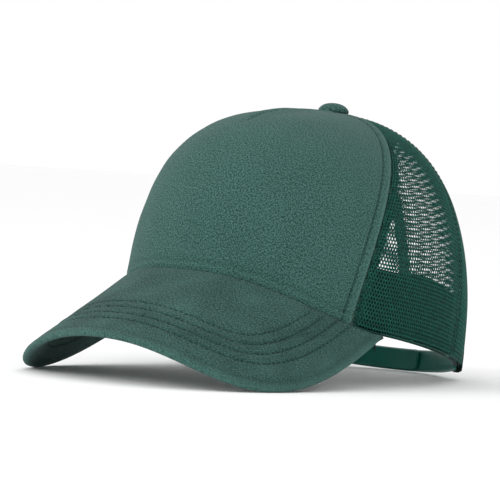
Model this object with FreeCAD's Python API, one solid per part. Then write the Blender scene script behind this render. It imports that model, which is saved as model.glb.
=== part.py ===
import FreeCAD, Part
import math
import os

os.makedirs("parts", exist_ok=True)
Vector = FreeCAD.Vector

# ------------------------------------------------------------------ driving dimensions (mm, degrees)
# The cap is drawn in a head frame: head opening level, front towards -Y, wearer's left +X, up +Z.
# At the end it is tipped back so that it stands on the two wings of the brim and on its rear strap.

# crown
half_width = 86.0
front_half_length = 104.8
rear_half_length = 106.2
oval_power = 1.93
crown_height = 119.8
apex_behind_centre = 4.7
apex_slope = 0.11
lean_front, lean_side, lean_rear = 2.0, -5.0, 0.3
low_pull_front, low_pull_side, low_pull_rear = 64.7, 67.9, 44.0
top_pull_front, top_pull_side, top_pull_rear = 96.9, 65.0, 73.0
rear_hem_height = -5.8

# seams, as angles round the crown from the front
front_seam_low, front_seam_high, front_seam_bow = 55.7, 86.7, -3.3
side_seam_low, side_seam_high = 112.0, 131.0
seam_gap = 0.15
button_hole_radius = 2.5

# brim
brim_corner_angle = 69.1
brim_root_height = 13.75
brim_slope = 37.2
brim_droop = 55.8
brim_droop_change = -12.2
brim_droop_power = 2.2
brim_length = 56.3
brim_side_pull, brim_side_turn, brim_front_pull = 66.1, 4.8, 85.5
board_thickness = 2.0
brim_cover_thickness = 0.95
brim_layer_gap = 0.05
brim_edge_radius = 1.95
brim_root_gap = 0.6

# cloth layers, as depths below the crown's outer surface
cotton_thickness = 1.0
mesh_thickness = 1.2
buckram_depths = (1.15, 2.30)
fold_depths = (1.30, 2.10)
tape_depths = (2.45, 2.95)
sweatband_depths = (3.10, 4.70)
front_tape_half_width, rear_tape_half_width = 6.0, 3.5
tape_top_radius = 9.5
buckram_margin = 7.0
buckram_top_radius = 13.0
hem_height = 8.0
sweatband_height = 35.0
sweatband_rear_stop = 78.0

# rear opening
arch_half_width = 52.0
arch_top = 40.0
arch_centre_height = -8.0
binding_width = 8.0

# snap strap
strap_width = 12.2
strap_bottom = -5.4
strap_thickness = 1.2
strap_middle_depth = 3.6
strap_shift = 0.8
strap_shift_run = 20.0
strap_hinge_at = 53.0
strap_hinge_gap = 1.2
hole_strap_end = -33.5
peg_strap_end = 14.4
strap_corner_radius = 4.0
snap_pitch = 10.0
first_snap = 7.5
snap_hole_radius = 2.9
peg_root_radius, peg_tip_radius = 2.0, 1.5
peg_height = 1.5
tab_length = 20.0
tab_width = 13.2

# button
button_radius = 8.2
button_height = 5.4

# standing placement
stand_tip_back = 10.0
stand_shift_back = 29.57
stand_lift = 23.67


# ------------------------------------------------------------------ shape of the crown
def blend_round(angle, front, side, rear):
    """A value that changes from front to side to rear as the angle goes round the crown."""
    c = math.cos(angle)
    return side + (front - side) * max(c, 0.0) ** 2 + (rear - side) * max(-c, 0.0) ** 2


def smooth(u):
    u = min(max(u, 0.0), 1.0)
    return u * u * (3.0 - 2.0 * u)


def oval_radius(angle):
    """Distance from the centre to the head oval."""
    c = math.cos(angle)
    half_length = front_half_length if c > 0 else rear_half_length
    a = abs(math.sin(angle) / half_width) ** oval_power
    b = abs(c / half_length) ** oval_power
    return (a + b) ** (-1.0 / oval_power)


def oval_point(angle, depth=0.0):
    """Point of the head oval, moved inwards by a depth."""
    h = 1e-4
    r = oval_radius(angle)
    x, y = r * math.sin(angle), -r * math.cos(angle)
    r2 = oval_radius(angle + h)
    tx, ty = r2 * math.sin(angle + h) - x, -r2 * math.cos(angle + h) - y
    size = math.hypot(tx, ty)
    return x - depth * ty / size, y + depth * tx / size


def brim_surface_height(x, y):
    """Height of the middle of the brim: it slopes forwards and droops to both sides."""
    forward = -y - front_half_length
    droop = brim_droop + brim_droop_change * forward / 70.0
    height = brim_root_height - math.tan(math.radians(brim_slope)) * forward
    return height - droop * (abs(x) / 80.0) ** brim_droop_power


def hem_at(angle):
    """Height of the crown's lower edge: it follows the brim, then runs level to the rear."""
    side = abs((angle + math.pi) % (2.0 * math.pi) - math.pi)
    corner = math.radians(brim_corner_angle)
    cx, cy = oval_point(corner)
    corner_height = brim_surface_height(cx, cy)
    along = (side - corner) / (math.pi - corner)
    behind = corner_height + (rear_hem_height - corner_height) * smooth(along)
    x, y = oval_point(side)
    ahead = brim_surface_height(x, y) if side < corner + 0.1 else behind
    turn = smooth((side - corner + math.radians(3.0)) / math.radians(6.0))
    return ahead * (1.0 - turn) + behind * turn


def crown_point(angle, t):
    """Point of the crown's outer surface: t is 0 at the hem and 1 at the top."""
    r = oval_radius(angle)
    dx, dy = math.sin(angle), -math.cos(angle)
    lean = math.radians(blend_round(angle, lean_front, lean_side, lean_rear))
    low = blend_round(angle, low_pull_front, low_pull_side, low_pull_rear)
    top = blend_round(angle, top_pull_front, top_pull_side, top_pull_rear)
    p0 = Vector(r * dx, r * dy, hem_at(angle))
    p1 = p0 + Vector(-math.sin(lean) * dx, -math.sin(lean) * dy, math.cos(lean)) * low
    p3 = Vector(0.0, apex_behind_centre, crown_height)
    p2 = p3 + Vector(dx, dy, apex_slope * dy) * top
    s = 1.0 - t
    return p0 * s ** 3 + p1 * (3.0 * s * s * t) + p2 * (3.0 * s * t * t) + p3 * t ** 3


def crown_normal(angle, t):
    h = 1e-3
    across = crown_point(angle + h, t) - crown_point(angle - h, t)
    up = crown_point(angle, t + h) - crown_point(angle, t - h)
    normal = across.cross(up)
    normal.normalize()
    return normal


def crown_layer(angle, t, depth):
    return crown_point(angle, t) - crown_normal(angle, t) * depth


def t_above_hem(angle, distance):
    """Parameter of the point this far above the hem, measured along the cloth."""
    step = 0.01
    t = 0.0
    done = 0.0
    last = crown_point(angle, 0.0)
    while t < 1.0:
        here = crown_point(angle, t + step)
        piece = (here - last).Length
        if done + piece >= distance:
            return t + step * (distance - done) / piece
        done += piece
        last = here
        t += step
    return 1.0


def t_below_apex(angle, radius):
    """Parameter of the point this far from the top of the crown."""
    low, high = 0.6, 1.0
    apex = crown_point(0.0, 1.0)
    for _ in range(30):
        middle = 0.5 * (low + high)
        if (crown_point(angle, middle) - apex).Length > radius:
            low = middle
        else:
            high = middle
    return low


def angle_for(angle, t, width):
    """Turn round the crown that covers a width at this place."""
    p = crown_point(angle, t)
    return width / max(math.hypot(p.x, p.y - apex_behind_centre), 1.0)


def front_seam(t):
    bow = front_seam_bow * math.sin(math.pi * min(max(t, 0.0), 1.0))
    return math.radians(front_seam_low + (front_seam_high - front_seam_low) * t + bow)


def side_seam(t):
    return math.radians(side_seam_low + (side_seam_high - side_seam_low) * max(t, 0.0) ** 3)


# ------------------------------------------------------------------ solids
def thick_sheet(outer_rows, inner_rows):
    """Closed solid between two grids of points of the same size."""
    outer = Part.BSplineSurface()
    outer.interpolate(outer_rows)
    inner = Part.BSplineSurface()
    inner.interpolate(inner_rows)
    u0, u1, v0, v1 = outer.bounds()
    a0, a1, b0, b1 = inner.bounds()
    pairs = [
        (outer.uIso(u0), inner.uIso(a0)),
        (outer.uIso(u1), inner.uIso(a1)),
        (outer.vIso(v0), inner.vIso(b0)),
        (outer.vIso(v1), inner.vIso(b1)),
    ]
    faces = [outer.toShape(), inner.toShape()]
    for one, other in pairs:
        faces.append(Part.makeRuledSurface(one.toShape(), other.toShape()))
    shell = Part.makeShell(faces)
    shell.sewShape()
    solid = Part.makeSolid(shell)
    if solid.Volume < 0:
        solid.reverse()
    return solid


def crown_sheet(left, right, low, high, depths, columns, rows):
    """Layer of cloth between two seams and two heights, at two depths below the surface."""
    grids = []
    for depth in depths:
        grid = []
        for i in range(columns + 1):
            u = i / columns
            line = []
            for j in range(rows + 1):
                v = j / rows
                t = v
                angle = 0.0
                for _ in range(6):
                    angle = left(t) + (right(t) - left(t)) * u
                    t = low(angle) + (high(angle) - low(angle)) * v
                line.append(crown_layer(angle, t, depth))
            grid.append(line)
        grids.append(grid)
    return thick_sheet(grids[0], grids[1])


def mirrored(shape):
    return shape.mirror(Vector(0, 0, 0), Vector(1, 0, 0))


def keep_solid(shape):
    """The one solid that a cut or a common leaves."""
    return max(shape.Solids, key=lambda s: s.Volume)


hem_line = lambda angle: 0.0
button_hole = lambda angle: t_below_apex(angle, button_hole_radius)

pieces = {}

# ------------------------------------------------------------------ crown panels
pieces["front_panel"] = crown_sheet(
    lambda t: -front_seam(t) + angle_for(front_seam(t), t, seam_gap),
    lambda t: front_seam(t) - angle_for(front_seam(t), t, seam_gap),
    hem_line, button_hole, (0.0, cotton_thickness), 28, 20)

pieces["front_buckram"] = crown_sheet(
    lambda t: -front_seam(t) + angle_for(front_seam(t), t, buckram_margin),
    lambda t: front_seam(t) - angle_for(front_seam(t), t, buckram_margin),
    lambda angle: t_above_hem(angle, 3.0),
    lambda angle: t_below_apex(angle, buckram_top_radius), buckram_depths, 24, 18)

side_mesh = crown_sheet(
    lambda t: front_seam(t) + angle_for(front_seam(t), t, seam_gap),
    lambda t: side_seam(t) - angle_for(side_seam(t), t, seam_gap),
    hem_line, button_hole, (0.0, mesh_thickness), 20, 20)
pieces["side_mesh_left"] = side_mesh
pieces["side_mesh_right"] = mirrored(side_mesh)


def arch_prism(margin):
    """Solid through the back of the crown: half-moon opening grown by a margin."""
    height = arch_top - arch_centre_height + margin
    width = arch_half_width + margin
    centre = Vector(0.0, 45.0, arch_centre_height)
    oval = Part.Ellipse(centre + Vector(width, 0, 0), centre + Vector(0, 0, height), centre)
    moon = Part.Face(Part.Wire(oval.toShape())).extrude(Vector(0, 80.0, 0))
    foot = Part.makeBox(2.0 * width, 80.0, 60.0, Vector(-width, 45.0, arch_centre_height - 60.0))
    return moon.fuse(foot)


opening = arch_prism(0.0)
rear_mesh = crown_sheet(
    lambda t: side_seam(t) + angle_for(side_seam(t), t, seam_gap),
    lambda t: math.pi - angle_for(math.pi, t, seam_gap),
    hem_line, button_hole, (0.0, mesh_thickness), 20, 20)
rear_mesh = keep_solid(rear_mesh.cut(opening))
pieces["rear_mesh_left"] = rear_mesh
pieces["rear_mesh_right"] = mirrored(rear_mesh)

# ------------------------------------------------------------------ seam tapes, binding, hems
def tape_width_at(angle, t, widest):
    """Half width of a tape as an angle: it narrows towards the button."""
    p = crown_point(angle, t)
    reach = math.hypot(p.x, p.y - apex_behind_centre)
    half = min(widest, 0.34 * reach)
    return half / max(reach, 1.0)


def tape(seam, widest, low):
    return crown_sheet(
        lambda t: seam(t) - tape_width_at(seam(t), t, widest),
        lambda t: seam(t) + tape_width_at(seam(t), t, widest),
        low, lambda angle: t_below_apex(angle, tape_top_radius), tape_depths, 3, 30)


front_tape = tape(front_seam, front_tape_half_width, lambda angle: t_above_hem(angle, 0.5))
side_tape = tape(side_seam, rear_tape_half_width, lambda angle: t_above_hem(angle, 0.5))
pieces["seam_tape_front_left"] = front_tape
pieces["seam_tape_front_right"] = mirrored(front_tape)
pieces["seam_tape_side_left"] = side_tape
pieces["seam_tape_side_right"] = mirrored(side_tape)
rear_start = lambda angle: t_above_hem(angle, arch_top - rear_hem_height - 6.0)
rear_tape = tape(lambda t: math.pi, rear_tape_half_width, rear_start)
pieces["seam_tape_rear"] = keep_solid(rear_tape.cut(arch_prism(1.0)))

binding_sheet = crown_sheet(
    lambda t: math.radians(132.0), lambda t: math.radians(228.0),
    hem_line, lambda angle: t_above_hem(angle, 78.0), fold_depths, 24, 12)
binding_zone = arch_prism(binding_width).cut(opening)
pieces["arch_binding"] = keep_solid(binding_sheet.common(binding_zone))

hem_sheet = crown_sheet(
    lambda t: math.radians(58.0), lambda t: math.radians(152.0),
    hem_line, lambda angle: t_above_hem(angle, hem_height), fold_depths, 30, 3)
hem = keep_solid(hem_sheet.cut(arch_prism(binding_width + 0.3)))
pieces["hem_left"] = hem
pieces["hem_right"] = mirrored(hem)


# ------------------------------------------------------------------ distances along the rear oval
def rear_angle(distance):
    """Angle of the point this far from the middle of the back, along the oval, towards +X."""
    sign = 1.0 if distance >= 0 else -1.0
    step = math.radians(0.25)
    angle = math.pi
    done = 0.0
    x, y = oval_point(angle)
    while done < abs(distance):
        nx, ny = oval_point(angle - sign * step)
        piece = math.hypot(nx - x, ny - y)
        if done + piece >= abs(distance):
            return angle - sign * step * (abs(distance) - done) / piece
        done += piece
        x, y = nx, ny
        angle -= sign * step
    return angle


band_end = rear_angle(sweatband_rear_stop)
pieces["sweatband"] = crown_sheet(
    lambda t: -band_end, lambda t: band_end,
    lambda angle: t_above_hem(angle, 0.4),
    lambda angle: t_above_hem(angle, sweatband_height), sweatband_depths, 64, 5)


# ------------------------------------------------------------------ brim
def brim_outline(u):
    """Half outline of the brim in plan: u is 0 at the corner and 1 at the front."""
    cx, cy = oval_point(math.radians(brim_corner_angle))
    turn = math.radians(brim_side_turn)
    front = -(front_half_length + brim_length)
    px = (cx, cx + brim_side_pull * math.sin(turn), brim_front_pull, 0.0)
    py = (cy, cy - brim_side_pull * math.cos(turn), front, front)
    s = 1.0 - u
    weights = (s ** 3, 3.0 * s * s * u, 3.0 * s * u * u, u ** 3)
    x = sum(w * p for w, p in zip(weights, px))
    y = sum(w * p for w, p in zip(weights, py))
    return x, y


def brim_ends(across):
    """Inner and outer plan points of the brim: across runs from -1 to 1."""
    ix, iy = oval_point(across * math.radians(brim_corner_angle), -brim_root_gap)
    ox, oy = brim_outline(1.0 - abs(across))
    return ix, iy, math.copysign(ox, across), oy


def brim_point(across, inset_from_edge, share, offset):
    """Point of the brim: share runs from the root to the inset line along the edge."""
    ix, iy, ox, oy = brim_ends(across)
    width = math.hypot(ox - ix, oy - iy)
    v = share * (1.0 - inset_from_edge / width)
    x, y = ix + (ox - ix) * v, iy + (oy - iy) * v
    h = 0.01
    sx = (brim_surface_height(x + h, y) - brim_surface_height(x - h, y)) / (2.0 * h)
    sy = (brim_surface_height(x, y + h) - brim_surface_height(x, y - h)) / (2.0 * h)
    normal = Vector(-sx, -sy, 1.0)
    normal.normalize()
    return Vector(x, y, brim_surface_height(x, y)) + normal * offset


def brim_layer(low, high, reach, inset):
    grids = []
    for offset in (high, low):
        grid = []
        for i in range(41):
            across = reach * (-1.0 + 2.0 * i / 40.0)
            grid.append([brim_point(across, inset, j / 8.0, offset) for j in range(9)])
        grids.append(grid)
    return thick_sheet(grids[0], grids[1])


half_board = board_thickness / 2.0
cover_low = half_board + brim_layer_gap
cover_high = cover_low + brim_cover_thickness
edge_inset = 2.0 * brim_edge_radius + 0.2
pieces["brim_board"] = brim_layer(-half_board, half_board, 0.93, edge_inset)
pieces["brim_top_cover"] = brim_layer(cover_low, cover_high, 0.94, edge_inset)
pieces["brim_bottom_cover"] = brim_layer(-cover_high, -cover_low, 0.94, edge_inset)


def brim_edge_roll():
    """Rolled cloth round the brim's edge: a round bead just inside the outline."""
    grids = []
    for side in (1.0, -1.0):
        grid = []
        for i in range(61):
            across = 0.955 * (-1.0 + i / 30.0)
            line = []
            for j in range(9):
                turn = math.radians(14.0 + 152.0 * j / 8.0)
                inset = brim_edge_radius * (1.0 + math.cos(turn)) + 0.05
                offset = side * brim_edge_radius * math.sin(turn)
                line.append(brim_point(across, inset, 1.0, offset))
            grid.append(line)
        grids.append(grid)
    return thick_sheet(grids[0], grids[1])


pieces["brim_edge"] = brim_edge_roll()


# ------------------------------------------------------------------ button
def turned(points):
    """Solid of revolution about Z from a closed list of (radius, height) points."""
    corners = [Vector(r, 0.0, z) for r, z in points]
    profile = Part.Face(Part.makePolygon(corners + [corners[0]]))
    return profile.revolve(Vector(0, 0, 0), Vector(0, 0, 1), 360.0)


def on_crown_top(shape):
    shape.rotate(Vector(0, 0, 0), Vector(1, 0, 0), math.degrees(math.atan(apex_slope)))
    shape.translate(Vector(0.0, apex_behind_centre, crown_height))
    return shape


def dome(radius, height, foot, count):
    """Points of a flattened dome from its rim to its middle."""
    points = []
    for i in range(count + 1):
        a = 0.5 * math.pi * i / count
        points.append((radius * math.cos(a) ** 0.8, foot + (height - foot) * math.sin(a) ** 0.9))
    return points


outer_dome = dome(button_radius, button_height, 1.4, 10)
inner_dome = dome(button_radius - 0.8, button_height - 0.8, 1.4, 10)
cover = [(button_radius - 0.5, 0.3)] + outer_dome + inner_dome[::-1] + [(button_radius - 1.2, 0.3)]
cover = [(max(r, 0.0), z) for r, z in cover]
pieces["button_cover"] = on_crown_top(turned(cover))
core_dome = dome(button_radius - 0.9, button_height - 0.9, 1.4, 10)
core = core_dome + [(0.0, -3.1), (2.0, -3.1), (2.0, 0.7), (button_radius - 1.5, 0.7)]
pieces["button_core"] = on_crown_top(turned([(max(r, 0.0), z) for r, z in core]))
pieces["button_washer"] = on_crown_top(turned([(2.05, -2.75), (8.5, -2.75), (8.5, -1.8), (2.05, -1.8)]))


# ------------------------------------------------------------------ snap strap
def rear_band(start, stop, low, high, depth_at, count):
    """Upright band behind the head between two distances along the rear oval."""
    grids = []
    for side in (-0.5, 0.5):
        grid = []
        for i in range(count + 1):
            distance = start + (stop - start) * i / count
            x, y = oval_point(rear_angle(distance), depth_at(distance) + side * strap_thickness)
            grid.append([Vector(x, y, low + (high - low) * j / 3.0) for j in range(4)])
        grids.append(grid)
    return thick_sheet(grids[0], grids[1])


def rounded_end(free_x, root_x):
    """Prism along Y with rounded corners at the free end of a strap half."""
    low, high = strap_bottom, strap_bottom + strap_width
    start, stop = min(free_x, root_x), max(free_x, root_x)
    block = Part.makeBox(stop - start, 90.0, high - low, Vector(start, 45.0, low))
    edges = []
    for edge in block.Edges:
        middle = edge.CenterOfMass
        along_y = abs(edge.tangentAt(edge.FirstParameter).y) > 0.9
        if along_y and abs(middle.x - free_x) < 0.01:
            edges.append(edge)
    return block.makeFillet(strap_corner_radius, edges)


def snap_frame(distance, depth):
    """Centre and outward direction of a snap on the rear oval."""
    angle = rear_angle(distance)
    x, y = oval_point(angle, depth)
    ox, oy = oval_point(angle, depth - 1.0)
    return Vector(x, y, strap_bottom + strap_width / 2.0), Vector(ox - x, oy - y, 0.0)


strap_top = strap_bottom + strap_width
root = strap_hinge_at - strap_hinge_gap
hole_depth = lambda s: strap_middle_depth - strap_shift * smooth((strap_hinge_at - s) / strap_shift_run)
peg_depth = lambda s: strap_middle_depth + strap_shift * smooth((strap_hinge_at + s) / strap_shift_run)

hole_strap = rear_band(hole_strap_end - 4.0, root, strap_bottom, strap_top, hole_depth, 30)
hole_strap = keep_solid(hole_strap.common(rounded_end(hole_strap_end, 60.0)))
for number in range(-4, 1):
    at = first_snap + number * snap_pitch
    centre, out = snap_frame(at, hole_depth(at))
    hole_strap = hole_strap.cut(Part.makeCylinder(snap_hole_radius, 6.0, centre - out * 3.0, out))
pieces["hole_strap"] = keep_solid(hole_strap)

peg_strap = rear_band(-root, peg_strap_end + 4.0, strap_bottom, strap_top, peg_depth, 30)
peg_strap = keep_solid(peg_strap.common(rounded_end(peg_strap_end, -60.0)))
for number in range(-5, 1):
    at = first_snap + number * snap_pitch
    centre, out = snap_frame(at, peg_depth(at))
    foot = centre + out * (strap_thickness / 2.0 - 0.3)
    peg = Part.makeCone(peg_root_radius, peg_tip_radius, peg_height + 0.3, foot, out)
    peg_strap = peg_strap.fuse(peg)
pieces["peg_strap"] = keep_solid(peg_strap)

tab_from = strap_hinge_at + strap_hinge_gap
flat_depth = lambda s: strap_middle_depth
tab = rear_band(tab_from, tab_from + tab_length, strap_bottom, strap_bottom + tab_width, flat_depth, 8)
pieces["hole_strap_tab"] = tab
pieces["peg_strap_tab"] = mirrored(tab)

# ------------------------------------------------------------------ standing placement and files
for name, shape in pieces.items():
    shape.rotate(Vector(0, 0, 0), Vector(1, 0, 0), -stand_tip_back)
    shape.translate(Vector(0.0, stand_shift_back, stand_lift))
    box = shape.BoundBox
    print(name, shape.isValid(), len(shape.Solids), round(shape.Volume, 1),
          [round(v, 1) for v in (box.XMin, box.XMax, box.YMin, box.YMax, box.ZMin, box.ZMax)])
    shape.exportStep("parts/" + name + ".step")
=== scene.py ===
# %% [markdown]
# # A mesh-back cap
# The cap has a soft cotton front, four panels of see-through net, a curved brim and a two-part
# snap strap. The imported CAD model is loaded first, and it stays where it is: every piece below is
# made in its place, in metres, and all but the strap plates ride on one of its bodies.

# %% Load the imported frame
import math
import bmesh
import bpy
import numpy as np
from mathutils import Matrix, Vector


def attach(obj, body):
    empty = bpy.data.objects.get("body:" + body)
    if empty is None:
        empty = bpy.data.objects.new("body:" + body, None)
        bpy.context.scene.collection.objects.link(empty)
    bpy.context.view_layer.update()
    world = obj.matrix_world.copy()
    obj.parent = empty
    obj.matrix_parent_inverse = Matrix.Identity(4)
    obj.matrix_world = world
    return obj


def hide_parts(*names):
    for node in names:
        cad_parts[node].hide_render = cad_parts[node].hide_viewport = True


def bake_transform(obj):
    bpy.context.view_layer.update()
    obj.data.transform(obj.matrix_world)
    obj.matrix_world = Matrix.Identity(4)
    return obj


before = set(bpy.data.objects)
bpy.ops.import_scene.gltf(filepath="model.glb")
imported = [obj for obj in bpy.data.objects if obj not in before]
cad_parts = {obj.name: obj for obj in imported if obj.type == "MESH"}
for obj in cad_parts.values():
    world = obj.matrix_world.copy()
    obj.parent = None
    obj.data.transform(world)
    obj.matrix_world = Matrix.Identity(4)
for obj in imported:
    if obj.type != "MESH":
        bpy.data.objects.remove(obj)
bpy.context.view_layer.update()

# %% [markdown]
# ## The shape of the head
# A cap is a soft shell round an oval. Its surface could be modelled by hand, but every cloth,
# tape and stitch lies on the same surface, only deeper or higher. So the surface is a formula: an
# angle round the head, from the front towards the wearer's left, and t, from hem to button. It is
# drawn in a head frame in millimetres, and standing() tips it back onto its brim and strap.

# %% The crown's dimensions
HALF_WIDTH, FRONT_LENGTH, REAR_LENGTH, OVAL_POWER = 86.0, 104.8, 106.2, 1.93
CROWN_HEIGHT, APEX_BEHIND, APEX_SLOPE = 119.8, 4.7, 0.11
LEAN, LOW_PULL, TOP_PULL = (2.0, -5.0, 0.3), (64.7, 67.9, 44.0), (96.9, 65.0, 73.0)
REAR_HEM_HEIGHT = -5.8
BRIM_CORNER, BRIM_ROOT_HEIGHT, BRIM_SLOPE = math.radians(69.1), 13.75, 37.2
BRIM_DROOP, DROOP_CHANGE, DROOP_POWER, BRIM_LENGTH = 55.8, -12.2, 2.2, 56.3
BRIM_SIDE_PULL, BRIM_SIDE_TURN, BRIM_FRONT_PULL = 66.1, 4.8, 85.5
FRONT_SEAM_LOW, FRONT_SEAM_TURN, FRONT_SEAM_BOW = 55.7, 31.0, -3.3
SIDE_SEAM_LOW, SIDE_SEAM_TURN = 112.0, 19.0
TIP_BACK, SHIFT_BACK, LIFT = 10.0, 29.57, 23.67


# %% Formulas of the surface
def standing(points):
    """Head-frame millimetres to the frame's metres."""
    points = np.asarray(points, float)
    c, s = math.cos(math.radians(TIP_BACK)), math.sin(math.radians(TIP_BACK))
    x, y, z = points[..., 0], points[..., 1], points[..., 2]
    return np.stack([x, y * c + z * s + SHIFT_BACK, z * c - y * s + LIFT], -1) / 1000.0


def blend_round(angle, values):
    front, side, rear = values
    ahead, behind = np.maximum(np.cos(angle), 0.0) ** 2, np.maximum(-np.cos(angle), 0.0) ** 2
    return side + (front - side) * ahead + (rear - side) * behind


def smooth(u):
    u = np.clip(u, 0.0, 1.0)
    return u * u * (3.0 - 2.0 * u)


def bump_at(distance, width):
    """A soft bump, 1 where the distance is 0."""
    return np.exp(-(distance / width) ** 2)


def oval_radius(angle):
    c = np.cos(angle)
    length = np.where(c > 0, FRONT_LENGTH, REAR_LENGTH)
    a = np.abs(np.sin(angle) / HALF_WIDTH) ** OVAL_POWER
    return (a + np.abs(c / length) ** OVAL_POWER) ** (-1.0 / OVAL_POWER)


def oval_point(angle, depth=0.0):
    """Point of the head oval, moved inwards by a depth."""
    r, r2 = oval_radius(angle), oval_radius(angle + 1e-4)
    x, y = r * np.sin(angle), -r * np.cos(angle)
    tx, ty = r2 * np.sin(angle + 1e-4) - x, -r2 * np.cos(angle + 1e-4) - y
    size = np.hypot(tx, ty)
    return x - depth * ty / size, y + depth * tx / size


def brim_height(x, y):
    forward = -y - FRONT_LENGTH
    droop = BRIM_DROOP + DROOP_CHANGE * forward / 70.0
    height = BRIM_ROOT_HEIGHT - math.tan(math.radians(BRIM_SLOPE)) * forward
    return height - droop * (np.abs(x) / 80.0) ** DROOP_POWER


def hem_at(angle):
    """Height of the lower edge: it follows the brim, then runs level to the rear."""
    side = np.abs((angle + math.pi) % (2.0 * math.pi) - math.pi)
    corner_height = brim_height(*oval_point(BRIM_CORNER))
    along = (side - BRIM_CORNER) / (math.pi - BRIM_CORNER)
    behind = corner_height + (REAR_HEM_HEIGHT - corner_height) * smooth(along)
    ahead = np.where(side < BRIM_CORNER + 0.1, brim_height(*oval_point(side)), behind)
    turn = smooth((side - BRIM_CORNER + math.radians(3.0)) / math.radians(6.0))
    return ahead * (1.0 - turn) + behind * turn


def crown_point(angle, t):
    """Point of the outer surface: t is 0 at the hem and 1 at the button."""
    angle, t = np.broadcast_arrays(np.asarray(angle, float), np.asarray(t, float))
    r, dx, dy = oval_radius(angle), np.sin(angle), -np.cos(angle)
    lean = np.radians(blend_round(angle, LEAN))
    low, top = blend_round(angle, LOW_PULL), blend_round(angle, TOP_PULL)
    p0 = np.stack([r * dx, r * dy, hem_at(angle)], -1)
    up = np.stack([-np.sin(lean) * dx, -np.sin(lean) * dy, np.cos(lean)], -1)
    p1 = p0 + up * low[..., None]
    p3 = np.array([0.0, APEX_BEHIND, CROWN_HEIGHT])
    p2 = p3 + np.stack([dx, dy, APEX_SLOPE * dy], -1) * top[..., None]
    s, t = (1.0 - t)[..., None], t[..., None]
    return p0 * s ** 3 + p1 * (3 * s * s * t) + p2 * (3 * s * t * t) + p3 * t ** 3


def crown_normal(angle, t):
    h = 1e-3
    across = crown_point(angle + h, t) - crown_point(angle - h, t)
    up = crown_point(angle, t + h) - crown_point(angle, t - h)
    normal = np.cross(across, up)
    return normal / np.linalg.norm(normal, axis=-1, keepdims=True)


def crown_layer(angle, t, depth):
    depth = np.broadcast_to(depth, np.broadcast(angle, t).shape)
    return crown_point(angle, t) - crown_normal(angle, t) * depth[..., None]


print("top of the crown", standing(crown_point(0.0, 1.0)).round(4))


# %% Distances on the surface
def walk(points, axis):
    """Distance walked along one axis of a grid of points."""
    step = np.linalg.norm(np.diff(points, axis=axis), axis=-1)
    start = np.zeros_like(np.take(step, [0], axis))
    return np.concatenate([start, np.cumsum(step, axis)], axis)


def t_above_hem(angle, distance):
    """The t of the point this far above the hem, measured along the cloth."""
    angle = np.asarray(angle, float)
    steps = np.linspace(0.0, 1.0, 101)
    length = walk(crown_point(angle.ravel()[:, None], steps[None, :]), 1)
    distance = np.broadcast_to(distance, angle.shape).ravel()
    found = [np.interp(d, row, steps) for d, row in zip(distance, length)]
    return np.array(found).reshape(angle.shape)


def t_below_apex(angle, radius):
    """The t of the point this far from the top of the crown."""
    low, high = np.full(np.shape(angle), 0.6), np.ones(np.shape(angle))
    apex = crown_point(0.0, 1.0)
    for _ in range(30):
        middle = 0.5 * (low + high)
        outside = np.linalg.norm(crown_point(angle, middle) - apex, axis=-1) > radius
        low, high = np.where(outside, middle, low), np.where(outside, high, middle)
    return low


def round_reach(angle, t):
    p = crown_point(angle, t)
    return np.maximum(np.hypot(p[..., 0], p[..., 1] - APEX_BEHIND), 1.0)


def front_seam(t):
    bow = FRONT_SEAM_BOW * np.sin(math.pi * np.clip(t, 0.0, 1.0))
    return np.radians(FRONT_SEAM_LOW + FRONT_SEAM_TURN * t + bow)


def side_seam(t):
    return np.radians(SIDE_SEAM_LOW + SIDE_SEAM_TURN * np.maximum(t, 0.0) ** 3)


def rear_seam(t):
    return math.pi + 0.0 * t


def shifted(seam, width):
    """A line beside a seam, this many millimetres further round."""
    return lambda t: seam(t) + width / round_reach(seam(t), t)


def opposite(seam):
    return lambda t: -seam(t)


hem_line = lambda angle: 0.0 * angle
button_hole = lambda angle: t_below_apex(angle, 2.5)
rear_turns = math.pi - np.linspace(-2.2, 2.2, 1761)
rear_walk = walk(np.stack(oval_point(rear_turns), -1), 0)
rear_walk -= np.interp(0.0, -(rear_turns - math.pi), rear_walk)


def rear_angle(distance):
    """Angle of the point this far from the middle of the back, towards the wearer's left."""
    return np.interp(distance, rear_walk, rear_turns)


print("rear half of the oval, mm", (rear_walk[-1] - rear_walk[0]).round(1))

# %% [markdown]
# ## Camera, light and floor
# The cap stands on a pale floor in even white light. The camera is nearly level with it and far
# away, so the perspective is weak. It is made before the pieces, so that any of them can be
# looked at as soon as it is there.

# %% Camera
AZIMUTH, ELEVATION, ROLL = math.radians(37.71), math.radians(1.90), math.radians(3.08)
AIM, DISTANCE, LENS = Vector((-0.020885, 0.015168, 0.065313)), 1.88434, 253.87
back = Vector((math.sin(AZIMUTH) * math.cos(ELEVATION), -math.cos(AZIMUTH) * math.cos(ELEVATION),
               math.sin(ELEVATION)))
level = Vector((math.cos(AZIMUTH), math.sin(AZIMUTH), 0.0))
upright = back.cross(level)
camera = bpy.data.objects.new("camera", bpy.data.cameras.new("camera"))
bpy.context.scene.collection.objects.link(camera)
camera_right = level * math.cos(ROLL) + upright * math.sin(ROLL)
camera_up = upright * math.cos(ROLL) - level * math.sin(ROLL)
turned = Matrix((camera_right, camera_up, back)).transposed().to_4x4()
camera.matrix_world = Matrix.Translation(AIM + back * DISTANCE) @ turned
camera.data.lens, camera.data.sensor_width = LENS, 36.0
bpy.context.scene.camera = camera
bpy.context.scene.view_settings.view_transform = "Standard"
print("camera at", camera.location)


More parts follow.
